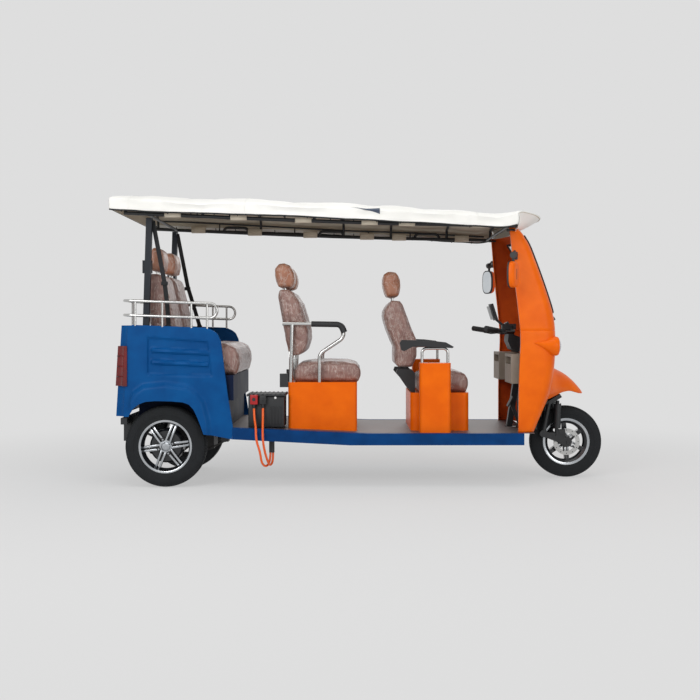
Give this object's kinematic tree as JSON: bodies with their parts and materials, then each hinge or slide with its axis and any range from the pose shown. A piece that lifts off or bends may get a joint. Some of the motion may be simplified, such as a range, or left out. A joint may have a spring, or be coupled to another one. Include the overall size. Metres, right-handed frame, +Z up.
{
  "type": "auto rickshaw",
  "caption": "Electric auto rickshaw with three seat rows, fabric canopy, open sides and one steered front wheel.",
  "frame": {"origin": "on the ground under the middle of the overall length, on the centre plane", "axes": "+X forward, +Y to the vehicle's left, +Z up"},
  "size_m": [3.138, 1.2, 1.852],
  "materials": {
    "frame_black": "satin paint",
    "axle_black": "painted casting",
    "spring_steel": "satin paint",
    "blue_paint": "satin paint",
    "floor_plate": "worn tread plate",
    "red_lens": "clear lens",
    "stainless": "bright tube",
    "base_dark": "satin paint",
    "seat_vinyl": "vinyl under clear film",
    "orange_paint": "gloss paint",
    "black_foam": "matte foam",
    "black_plastic": "grained",
    "orange_cable": "smooth sheath",
    "canopy_fabric": "coated woven cloth",
    "belt_web": "woven webbing",
    "screen_glass": "clear",
    "beige_plastic": "matte",
    "alloy": "machined face",
    "tyre_rubber": "moulded rubber"
  },
  "bodies": {
    "chassis": {"chassis_frame": "frame_black", "rear_axle": "axle_black", "leaf_springs": "spring_steel", "side_sills": "blue_paint", "floor_plate": "floor_plate", "tub_sides": "blue_paint", "tub_rear": "blue_paint", "tail_lamps": "red_lens", "tub_rail": "stainless", "rear_seat_base": "base_dark", "rear_cushion": "seat_vinyl", "rear_seat_backs": "seat_vinyl", "mid_seat_base": "orange_paint", "mid_cushion": "seat_vinyl", "mid_seat_backs": "seat_vinyl", "arm_tubes": "stainless", "arm_pads": "black_foam", "driver_seat_base": "orange_paint", "driver_cushion": "seat_vinyl", "driver_seat_back": "seat_vinyl", "seat_brackets": "black_plastic", "battery_box": "black_plastic", "cable_1": "orange_cable", "cable_2": "orange_cable", "cable_sleeve": "black_plastic", "canopy": "canopy_fabric", "roof_frame": "frame_black", "roof_posts": "frame_black", "seat_belts": "belt_web", "front_shell": "orange_paint", "windscreen": "screen_glass", "front_beak": "orange_paint", "headlamps": "orange_paint", "wiper": "black_plastic", "mirrors": "black_plastic", "glove_boxes": "beige_plastic", "brake_pedal": "beige_plastic"},
    "steering": {"handlebar": "black_plastic", "fork": "frame_black"},
    "front_wheel": {"front_rim": "alloy", "front_tyre": "tyre_rubber"},
    "rear_wheel_right": {"rear_rim_right": "alloy", "rear_tyre_right": "tyre_rubber"},
    "rear_wheel_left": {"rear_rim_left": "alloy", "rear_tyre_left": "tyre_rubber"}
  },
  "joints": [
    {"name": "steering_turn", "type": "hinge", "parent": "chassis", "child": "steering", "pos_m": [1.245, 0, 0.52], "axis": [-0.5299, 0, 0.848], "range_deg": [-35, 35]},
    {"name": "front_wheel_spin", "type": "hinge", "parent": "steering", "child": "front_wheel", "pos_m": [1.332, 0, 0.237], "axis": [0, 1, 0], "continuous": true},
    {"name": "rear_wheel_right_spin", "type": "hinge", "parent": "chassis", "child": "rear_wheel_right", "pos_m": [-1.247, -0.41, 0.253], "axis": [0, 1, 0], "continuous": true},
    {"name": "rear_wheel_left_spin", "type": "hinge", "parent": "chassis", "child": "rear_wheel_left", "pos_m": [-1.247, 0.41, 0.253], "axis": [0, 1, 0], "continuous": true}
  ]
}
